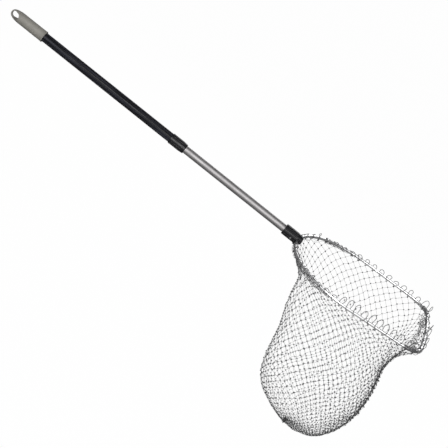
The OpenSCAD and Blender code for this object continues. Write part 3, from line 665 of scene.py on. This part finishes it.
def hang_rows():
    """Knots' places as (u, t), with each half row at one share of the way down every column."""
    fine = np.linspace(FIRST_T, LAST_T, FINE)[:, None] * np.ones(COLUMNS)
    ways = column_ways(fine)
    odd_ways = (ways + np.concatenate([ways[:, 1:], ways[:, :1] + 1], axis=1)) / 2
    shares = row_shares()
    u = np.empty((HALF_ROWS + 1, COLUMNS))
    t = np.empty_like(u)
    for start, way in ((0, ways), (1, odd_ways)):
        steps = np.linalg.norm(np.diff(bag_at(way, fine), axis=0), axis=-1)
        run = np.concatenate([np.zeros((1, COLUMNS)), np.cumsum(steps, axis=0)])
        for c in range(COLUMNS):
            wanted = run[-1, c] * shares[start::2]
            t[start::2, c] = np.interp(wanted, run[:, c], fine[:, 0])
            u[start::2, c] = np.interp(wanted, run[:, c], way[:, c])
    return u, t


def bar_links():
    """Pairs of half rows that bars join, with the shift between their columns."""
    links = []
    for j in range(HALF_ROWS):
        shifts = (0, -1) if j % 2 == 0 else (0, 1)
        links += [(j, j + 1, shift) for shift in shifts]
    return links


def pull_taut(u, t):
    """Draws knots together along the wall where a bar is longer than its twine."""
    for _ in range(ROUNDS):
        p = bag_at(u, t)
        su = (bag_at(u + STEP, t) - p) / STEP
        st = (bag_at(u, t + STEP) - p) / STEP
        move = np.zeros_like(p)
        for a, b, shift in bar_links():
            gap = np.roll(p[b], -shift, axis=0) - p[a]
            length = np.linalg.norm(gap, axis=-1, keepdims=True)
            pull = gap / length * np.maximum(length - BAR_L, 0) * 0.5
            move[a] += pull
            move[b] -= np.roll(pull, shift, axis=0)
        move *= 0.5
        # The move in space, as the steps of u and t that come nearest to it
        uu, tt, ut = (np.sum(x * y, axis=-1) for x, y in ((su, su), (st, st), (su, st)))
        mu, mt = np.sum(move * su, axis=-1), np.sum(move * st, axis=-1)
        det = uu * tt - ut * ut + 1e-9
        du = np.clip((mu * tt - mt * ut) / det, -MOST_U, MOST_U)
        dt = np.clip((mt * uu - mu * ut) / det, -MOST_T, MOST_T)
        du[0] = dt[0] = du[-1] = dt[-1] = 0
        u = u + du
        t = np.clip(t + dt, FIRST_T, LAST_T)
    return u, t


def window(t, start, rise, fall):
    """1 over the middle of the wall, easing in from start and out towards the gather."""
    return ease((t - start) / rise) * ease((1 - t) / fall)


def wall_folds(u, t):
    """The knots' points, moved in and out of the wall so that the netting hangs in soft folds."""
    p = bag_at(u, t)
    su = bag_at(u + STEP, t) - bag_at(u - STEP, t)
    st = bag_at(u, t + STEP) - bag_at(u, t - STEP)
    out = unit(np.cross(su, st))
    middle = np.array([HOOP_L * 0.56, 0.0, -BAG_DEPTH / 2])
    out *= np.sign(np.sum(out * (p - middle), axis=-1, keepdims=True))
    turn = 2 * math.pi * u
    waves = sum(high * np.sin(n * turn + slant * t + start) for high, n, slant, start in FOLDS)
    # Sharper folds where the slack netting crowds under the hoop's end
    crowded = np.exp(-((u - 0.5) / 0.05) ** 2) * window(t, 0.03, 0.12, 0.12)
    sharp = 4.0 * np.sin(46 * turn + 9 * t) * crowded
    height = waves * window(t, 0.05, 0.25, 0.2) + sharp
    stray = rng.normal(0, 0.5, u.shape + (3,)) * window(t, 0, 0.05, 0.03)[..., None]
    return p + out * height[..., None] * MM + stray * MM


def knot_shape():
    """A small tied knot: a closed tube that follows a trefoil, with a reach of about 1."""
    count = 18
    a = 2 * math.pi * np.arange(count) / count
    x = np.sin(a) + 2 * np.sin(2 * a)
    y = np.cos(a) - 2 * np.cos(2 * a)
    z = -1.2 * np.sin(3 * a)
    return tube_parts([np.stack([x, y, z], axis=-1) / 3.4], 0.33, 4, closed=True)


def knots_at(points, reach):
    """Copies of the knot at points, each turned its own way; reach may differ between them."""
    verts, faces, ply = knot_shape()
    count = len(points)
    angles = rng.uniform(0, 2 * math.pi, (count, 3))
    turned = np.repeat(verts[None], count, axis=0)
    for axis in range(3):
        c, s = np.cos(angles[:, axis])[:, None], np.sin(angles[:, axis])[:, None]
        i, j = (axis + 1) % 3, (axis + 2) % 3
        a, b = turned[:, :, i].copy(), turned[:, :, j].copy()
        turned[:, :, i], turned[:, :, j] = a * c - b * s, a * s + b * c
    size = np.reshape(reach * rng.uniform(0.85, 1.15, count), (count, 1, 1))
    placed = (turned * size + points[:, None, :]).reshape(-1, 3)
    start = (np.arange(count) * len(verts))[:, None, None]
    groups = [(f[None] + start).reshape(-1, f.shape[1]) for f in faces]
    scaled = ply.copy()
    scaled[:, 0] *= KNOT_R
    # Marks each knot, which the twine material paints darker as shade
    scaled[:, 3] = 1.0
    return placed, groups, np.tile(scaled, (count, 1))


def bars_between(a, b, radius):
    """Bars of twine from knots a to knots b, the slack ones sagging."""
    gap = b - a
    span = np.linalg.norm(gap, axis=-1)
    slack = np.maximum(BAR_L - span, 0)
    # A shallow arc's rise, less for the twine's stiffness
    sag = np.sqrt(0.375 * span * slack) * 0.4
    drift = rng.normal(0, 1, a.shape)
    drift[:, 2] -= 1.6
    side = unit(drift - np.sum(drift * unit(gap), axis=-1, keepdims=True) * unit(gap))
    bend = side * (sag + rng.uniform(0.05, 0.3, len(a)) * MM)[:, None]
    shares = np.array([0.0, 0.33, 0.67, 1.0])
    arch = np.array([0.0, 0.9, 0.9, 0.0])
    paths = a[:, None] + gap[:, None] * shares[:, None] + bend[:, None] * arch[:, None]
    return tube_parts(paths, radius[:, None], FINE_SIDES)


def make_netting():
    """The knotted netting in four pieces; returns its knots' points."""
    u, t = pull_taut(*hang_rows())
    knots = to_row(wall_folds(u, t))
    # Twine and knots look fuller low on the bag, and are drawn thin at the gather
    drawn = 1 + 0.1 * ease((t - 0.3) / 0.2) - 0.5 * ease((t - 0.6) / 0.34)
    names = ["netting_far_rear", "netting_far_front", "netting_near_front", "netting_near_rear"]
    quarter = np.arange(COLUMNS) * len(names) // COLUMNS
    for q, name in enumerate(names):
        mine = np.nonzero(quarter == q)[0]
        starts, ends, thin = [], [], []
        for a, b, shift in bar_links():
            starts.append(knots[a][mine])
            ends.append(knots[b][(mine + shift) % COLUMNS])
            thin.append(drawn[a][mine])
        radius = NET_R * np.concatenate(thin)
        bars = bars_between(np.concatenate(starts), np.concatenate(ends), radius)
        tied = knots_at(knots[:, mine].reshape(-1, 3), KNOT_R * drawn[:, mine].ravel())
        twine_piece(name, [bars, tied], NET_TWINE, "net_bag")
    return knots


def twine_piece(name, parts, material, stands_for):
    """One piece of the net from several parts, in the place of one of the solids."""
    verts, faces, ply = join_parts(parts)
    piece = new_piece(name, verts, faces, "head", material, ply=ply)
    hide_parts(stands_for)


# ---------------------------------------------------------------- top meshes

# From here to the end the netting is loose on the tube
LOOSE_START = RUN_SIDE + 40 * MM
# For each stretch of a side: its end, then the top meshes' least and greatest height and half
# width, in millimetres
BUNCHED = (SHOULDER_END + 15 * MM, 7, 9, 7)
LOOSE = (RUN_END, 14, 28, 11)
FAR_LOOPS = [(205 * MM, 11, 18, 7.5), BUNCHED, (LOOSE_START, 12, 19, 8), LOOSE]
NEAR_LOOPS = [BUNCHED, (LOOSE_START, 24, 31, 9), LOOSE]


def loop_size(s):
    """Height and half width of the top mesh at distance s from the yoke's middle."""
    zones = FAR_LOOPS if s > 0 else NEAR_LOOPS
    low, high, wide = next(size for end, *size in zones if abs(s) <= end)
    return rng.uniform(low, high) * MM, rng.uniform(0.85, 1.1) * wide * MM


def make_rim_loops(knots):
    """Top meshes that stand up over the tube, each passing round it from its own knot."""
    loops = []
    clear = HOOP_TUBE / 2 + TOP_MESH_R + 0.25 * MM
    for s, knot in zip(COLUMN_S, knots[0]):
        p, heading, outward, up = (v[0] for v in rim_frame(np.array([s])))
        tall, wide = loop_size(s)
        loose = 4.0 if abs(s) > LOOSE_START else 1.6
        lean, tip = rng.normal(0, loose) * MM, rng.normal(0, 1.5 * loose) * MM
        swap = rng.choice([-1, 1])
        # Places along, across and above the tube: under it, beside it, over it and down again
        around = [
            (-0.55 * wide, -clear, -2.0 * MM),
            (-0.80 * wide, -clear, 4.0 * MM),
            (-0.85 * wide + lean, tip - 0.4 * clear, 0.7 * tall),
            (lean, tip, tall),
            (0.85 * wide + lean, tip + 0.4 * clear, 0.7 * tall),
            (0.80 * wide, clear, 4.0 * MM),
            (0.55 * wide, clear, -2.0 * MM),
        ]
        ring = [to_row(p + heading * a * swap + outward * n + up * z) for a, n, z in around]
        loops.append([knot] + ring)
    paths = curve_through(np.array(loops), 6, closed=True)
    tubes = tube_parts(paths, TOP_MESH_R, THICK_SIDES, closed=True)
    twine_piece("top_meshes", [tubes], DARK_TWINE, "rim_loops")


# ---------------------------------------------------------------- bunches and lashings

def off_tube(s, turn, away):
    """Points at distances s along the hoop and away from its axis, turned round it from outward."""
    p, _, outward, up = rim_frame(s)
    cosine, sine = np.cos(turn)[:, None], np.sin(turn)[:, None]
    return p + (outward * cosine + up * sine) * away[:, None]


def sway(share, slow, fast):
    """A wave along a strand that starts anywhere and turns slow to fast radians on the way."""
    return np.sin(rng.uniform(0, 6) + share * rng.uniform(slow, fast))


def strands_along(start, end, side, count, spread, droop=0.0, stray=1.0, points=70):
    """Strands along the tube's underside, straying about 40 degrees to either side at stray 1.

    They lie up to spread millimetres off the tube, more where they wave, and hang up to droop.
    """
    paths = []
    for _ in range(count):
        a = start + rng.uniform(0, 0.06) * (end - start)
        b = end - rng.uniform(0, 0.35) * (end - start)
        s = np.linspace(a, b, points)
        share = (s - start) / (end - start)
        turn = -math.pi / 2 + rng.normal(0, 0.7 * stray)
        turn = turn + 0.7 * stray * sway(share, 9, 22)
        away = HOOP_TUBE / 2 + NET_R + rng.uniform(0.1, spread) * MM
        away = away + 0.9 * MM * (1 + sway(share, 14, 34))
        path = off_tube(side * s, turn, away)
        under = ease(0.5 - 0.9 * np.sin(turn)) * ease(share / 0.1) * ease((1 - share) / 0.3)
        hang = droop * (0.55 + 0.45 * sway(share, 10, 26))
        path[:, 2] -= under * hang
        paths.append(to_row(path))
    return tube_parts(paths, NET_R, FINE_SIDES)


def winding(start, end, side, pitch, radius, clear, loose=0.3):
    """One twine wound round the tube from start to end, its axis at clear off the surface."""
    turns = (end - start) / pitch
    count = int(turns * 14)
    share = np.linspace(0, 1, count)
    wander = np.cumsum(rng.normal(0, 1, count))
    wander = loose * pitch * (wander - share * wander[-1]) / math.sqrt(count)
    reach = HOOP_TUBE / 2 + clear + 0.4 * MM * np.sin(share * turns * 1.7)
    s = side * (start + share * (end - start) + wander)
    path = off_tube(s, 2 * math.pi * turns * share, reach)
    return tube_parts([to_row(path)], radius, THICK_SIDES)


def knots_along(start, end, side, count, low, high):
    """Knots scattered over the bunched netting, low to high millimetres off the tube."""
    spots = rng.uniform(start, end, count) * side
    turn = -math.pi / 2 + rng.normal(0, 1.0, count)
    away = HOOP_TUBE / 2 + rng.uniform(low, high, count) * MM
    return knots_at(to_row(off_tube(spots, turn, away)), KNOT_R)


def make_shoulder_bunches():
    """Netting pushed along both shoulders: thick on the near one, wound tight on the far one."""
    beside_yoke, first_knot = 17 * MM, 30 * MM
    near_end = SHOULDER_END + 12 * MM
    far_start, far_end = 195 * MM, 330 * MM
    parts = [
        strands_along(beside_yoke, 130 * MM, NEAR, 7, 1.6, droop=6 * MM, stray=1.5),
        strands_along(105 * MM, near_end, NEAR, 19, 1.2, droop=7 * MM, stray=0.8),
        winding(60 * MM, SHOULDER_END, NEAR, 15 * MM, LASH_R, 1.0 * MM),
        knots_along(first_knot, SHOULDER_END, NEAR, 18, 0.8, 3.6),
        strands_along(beside_yoke, 215 * MM, FAR, 3, 2.5, droop=10 * MM, stray=1.3),
        strands_along(far_start, far_end, FAR, 8, 0.3, droop=3 * MM),
        winding(198 * MM, 345 * MM, FAR, 5.5 * MM, NET_R, NET_R),
        winding(200 * MM, 340 * MM, FAR, 16 * MM, LASH_R, 0.7 * MM),
        knots_along(first_knot, far_end, FAR, 16, 0.8, 3.6),
    ]
    twine_piece("bunched_netting", parts, DARK_TWINE, "shoulder_bunches")


def slung_strands(starts, ends, count, sag, wander):
    """Slack strands from spots on one line to spots on another, sagging and wandering."""
    share = np.linspace(0, 1, 26)
    paths = []
    for _ in range(count):
        a = starts[0] + rng.uniform(0, 1) * (starts[1] - starts[0])
        b = ends[0] + rng.uniform(0, 1) * (ends[1] - ends[0])
        path = a + (b - a) * share[:, None]
        for axis in range(3):
            path[:, axis] += wander * sway(share, 9, 24) * np.sin(math.pi * share) ** 0.5
        path[:, 2] -= sag * rng.uniform(0.4, 1.2) * 4 * share * (1 - share)
        paths.append(path)
    return tube_parts(paths, NET_R, FINE_SIDES)


def loose_rings(middles, reach, radius):
    """Loose open meshes of twine, each lying its own way."""
    turn = 2 * math.pi * np.arange(9)[:, None] / 9
    rings = []
    for middle in middles:
        a = unit(rng.normal(0, 1, 3) * (1, 1, 0.8))
        b = unit(np.cross(a, rng.normal(0, 1, 3)))
        wide, tall = reach * rng.uniform(0.6, 1.1), reach * rng.uniform(0.35, 0.7)
        rough = rng.uniform(0.8, 1.2, (9, 1))
        rings.append(middle + rough * (wide * np.cos(turn) * a + tall * np.sin(turn) * b))
    paths = curve_through(np.array(rings), 5, closed=True)
    return tube_parts(paths, radius, FINE_SIDES, closed=True)


def rim_line(*spots):
    """Points off the hoop, each from its distance along it and its millimetres outward and up."""
    line = []
    for s, outward_by, up_by in spots:
        p, _, outward, up = (v[0] for v in rim_frame(np.array([s])))
        line.append(to_row(p + outward * (outward_by * MM) + up * (up_by * MM)))
    return line


def make_corner_lashings():
    """Twine round the far corners and along the end, and the loose netting that hangs from it."""
    near_turn, far_turn = RUN_SIDE + 50 * MM, RUN_SIDE + 80 * MM
    first_knot = RUN_SIDE + 30 * MM
    parts = [
        winding(RUN_SIDE + 6 * MM, near_turn, NEAR, 2.2 * MM, LASH_R, LASH_R),
        winding(near_turn, RUN_END, NEAR, 26 * MM, LASH_R, 0.8 * MM, loose=0.6),
        winding(RUN_SIDE + 46 * MM, far_turn, FAR, 3.4 * MM, LASH_R, LASH_R),
        winding(far_turn, RUN_END, FAR, 36 * MM, LASH_R, 0.8 * MM, loose=0.6),
        strands_along(RUN_SIDE - 12 * MM, RUN_CORNER + 20 * MM, FAR, 4, 1.0, points=40),
        knots_along(first_knot, RUN_END, FAR, 7, 0.8, 6.0),
        knots_along(first_knot, RUN_END, NEAR, 10, 0.8, 6.0),
    ]
    # Lines that the loose netting is slung between: along the end from the far corner to the
    # near one, and where it is pinched in under the near corner
    far_bar = rim_line((RUN_SIDE + 62 * MM, -3, -4), (RUN_CORNER + 20 * MM, -5, -5))
    mid_bar = rim_line((RUN_END - 30 * MM, -16, -10), (-RUN_END + 30 * MM, -20, -6))
    near_bar = rim_line((-RUN_SIDE - 55 * MM, -8, -4), (-RUN_SIDE - 30 * MM, -6, -6))
    pinch = rim_line((-RUN_SIDE + 8 * MM, -6, -12), (-RUN_SIDE - 25 * MM, -6, -16))
    parts.append(slung_strands(far_bar, mid_bar, 4, 8 * MM, 4 * MM))
    parts.append(slung_strands(mid_bar, near_bar, 5, 9 * MM, 4.5 * MM))
    parts.append(slung_strands(mid_bar, pinch, 5, 12 * MM, 4 * MM))
    way = np.linspace(0, 1, 9)[:, None]
    inner_edge = np.concatenate([
        far_bar[1] + (mid_bar[0] - far_bar[1]) * way,
        mid_bar[1] + (near_bar[0] - mid_bar[1]) * way])
    middles = inner_edge + rng.normal(0, 4, inner_edge.shape) * MM
    parts.append(loose_rings(middles, 15 * MM, LASH_R))
    twine_piece("lashed_corners", parts, DARK_TWINE, "corner_lashings")


def make_edge_bunch():
    """The slack netting of the end, hanging as a rope of strands down from the hoop's end."""
    strands, points = 8, 90
    # Where it hangs, round from the yoke, and where it starts below the hoop
    edge_u, first_t = 0.545, 0.06
    share = np.linspace(0, 1, points)
    paths = []
    for _ in range(strands):
        t = first_t + (rng.uniform(0.5, 0.86) - first_t) * share
        u = edge_u + 0.012 * np.sin(rng.uniform(0, 6) + 7 * share) + rng.uniform(-0.006, 0.006)
        u = u + 0.006 * sway(share, 30, 60)
        path = bag_at(u, t)
        for axis in range(3):
            path[:, axis] += 2.2 * MM * sway(share, 25, 60)
        paths.append(to_row(path))
    picks = rng.integers(20, points, 24)
    spots = np.array([paths[i % strands][k] for i, k in enumerate(picks)])
    rings = loose_rings(spots, 8 * MM, NET_R)
    knots = knots_at(spots[:12], 0.8 * KNOT_R)
    rope = tube_parts(paths, NET_R, FINE_SIDES)
    twine_piece("edge_bunch", [rope, knots, rings], DARK_TWINE, "net_bag")


def make_gather(knots):
    """The last meshes drawn together on a twine, tied off under the bag."""
    lo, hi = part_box("gather_knot")
    middle = np.array((lo + hi) / 2)
    reach = (hi.z - lo.z) / 2
    turns = 7
    share = np.linspace(0, 1, turns * 16)
    turn = 2 * math.pi * turns * share
    wide = reach * (0.55 + 0.12 * np.sin(3.1 * turn / turns))
    high = reach * (0.75 - 1.1 * share)
    coil = np.stack([wide * np.cos(turn), wide * np.sin(turn), high], axis=-1)
    # Each column's last bar goes in through the coil and out under it
    ends = knots[-1]
    spread = rng.normal(0, 0.16, (len(ends), 3)) * reach
    inside = middle + spread + [0, 0, reach * 0.3]
    below = middle + spread * 1.6 + [0, 0, -reach * 0.8]
    tails = curve_through(np.stack([ends, inside, below], axis=1), 4)
    parts = [
        tube_parts([coil + middle], LASH_R, THICK_SIDES),
        tube_parts(tails, NET_R, FINE_SIDES),
        knots_at(middle + rng.normal(0, 0.35, (9, 3)) * reach, KNOT_R * 1.3),
    ]
    twine_piece("gather_lashing", parts, DARK_TWINE, "gather_knot")


# ---------------------------------------------------------------- camera, light and floor

VIEW_ELEVATION = math.radians(20)
VIEW_ROLL = math.radians(38.59)
VIEW_DISTANCE = 3.9
# Width of the view where it cuts the handle's axis
VIEW_WIDTH = 1366.4 * MM
# The view's middle, behind the hoop's rear and below the handle's axis
AXIS_BACK = 209.5 * MM
AXIS_ABOVE = 104.2 * MM

# Lamps: name, place from the object's middle, size and power
LAMPS = [
    ("key", (-0.6, -3.2, 1.5), 1.5, 112),
    ("fill", (1.9, -2.7, 1.6), 1.6, 34),
    ("back", (0.5, 3.2, 1.6), 2.2, 45),
]
FLOOR_SIZE = 60
# How far the floor lies below the bag
FLOOR_DROP = 0.45


def make_camera():
    """The camera on the near side, looking a little down and rolled so that the handle slants."""
    up = Vector((0, math.sin(VIEW_ELEVATION), math.cos(VIEW_ELEVATION)))
    back = Vector((0, -math.cos(VIEW_ELEVATION), math.sin(VIEW_ELEVATION)))
    along = Vector((1, 0, 0))
    right = along * math.cos(VIEW_ROLL) + up * math.sin(VIEW_ROLL)
    top = up * math.cos(VIEW_ROLL) - along * math.sin(VIEW_ROLL)
    target = Vector((HOOP_AT[0] - AXIS_BACK, 0, 0)) - up * AXIS_ABOVE
    data = bpy.data.cameras.new("camera")
    data.sensor_width = 36
    data.lens = data.sensor_width * VIEW_DISTANCE / VIEW_WIDTH
    data.clip_start, data.clip_end = 0.1, 100
    camera = bpy.data.objects.new("camera", data)
    bpy.context.scene.collection.objects.link(camera)
    place = target + back * VIEW_DISTANCE
    axes = Matrix((right, top, back)).transposed()
    camera.matrix_world = Matrix.Translation(place) @ axes.to_4x4()
    bpy.context.scene.camera = camera


def area_lamp(name, place, aim, size, power):
    data = bpy.data.lights.new(name, "AREA")
    data.size = size
    data.energy = power
    lamp = bpy.data.objects.new(name, data)
    bpy.context.scene.collection.objects.link(lamp)
    lamp.location = place
    lamp.rotation_euler = (aim - place).to_track_quat("-Z", "Y").to_euler()


def seen_directly(tree):
    """1 for rays from the eye and through glass, 0 for all others."""
    path = node(tree, "ShaderNodeLightPath")
    first = node(tree, "ShaderNodeMath", operation="MAXIMUM")
    tree.links.new(path.outputs["Is Camera Ray"], first.inputs[0])
    tree.links.new(path.outputs["Is Transmission Ray"], first.inputs[1])
    return first.outputs[0]


def mix_shaders(tree, factor, first, second, surface):
    """Ends a tree in the first shader where the factor is 0 and the second where it is 1."""
    mix = node(tree, "ShaderNodeMixShader")
    tree.links.new(factor, mix.inputs["Fac"])
    tree.links.new(first.outputs[0], mix.inputs[1])
    tree.links.new(second.outputs[0], mix.inputs[2])
    tree.links.new(mix.outputs[0], surface.inputs["Surface"])


def make_light(middle):
    """Soft light all round under a white sky, and three lamps."""
    scene = bpy.context.scene
    scene.view_settings.view_transform = "Standard"
    world = bpy.data.worlds.new("studio")
    scene.world = world
    world.use_nodes = True
    tree = world.node_tree
    soft = tree.nodes["Background"]
    soft.inputs["Color"].default_value = (0.78, 0.79, 0.80, 1)
    soft.inputs["Strength"].default_value = 0.12
    white = node(tree, "ShaderNodeBackground")
    white.inputs["Color"].default_value = (1, 1, 1, 1)
    mix_shaders(tree, seen_directly(tree), soft, white, tree.nodes["World Output"])
    for name, place, size, power in LAMPS:
        area_lamp(name, middle + Vector(place), middle, size, power)


def make_floor(middle):
    """A matt floor that takes the shadow, seen mostly as white."""
    level = cad_box[0][2] - FLOOR_DROP
    bpy.ops.mesh.primitive_plane_add(size=FLOOR_SIZE, location=(middle.x, middle.y, level))
    floor = bpy.context.object
    floor.name = "floor"
    mat, tree, paint = start_material("pale_floor", (0.16, 0.16, 0.16), 0.9)
    glow = node(tree, "ShaderNodeEmission", Strength=1.06)
    share = node(tree, "ShaderNodeMath", operation="MULTIPLY")
    share.inputs[1].default_value = 0.93
    tree.links.new(seen_directly(tree), share.inputs[0])
    mix_shaders(tree, share.outputs[0], paint, glow, tree.nodes["Material Output"])
    floor.data.materials.append(mat)


object_middle = (Vector(cad_box[0]) + Vector(cad_box[1])) / 2
make_camera()
make_light(object_middle)
make_floor(object_middle)
dress_nodes()
make_hoop()
net_knots = make_netting()
make_rim_loops(net_knots)
make_shoulder_bunches()
make_corner_lashings()
make_edge_bunch()
make_gather(net_knots)
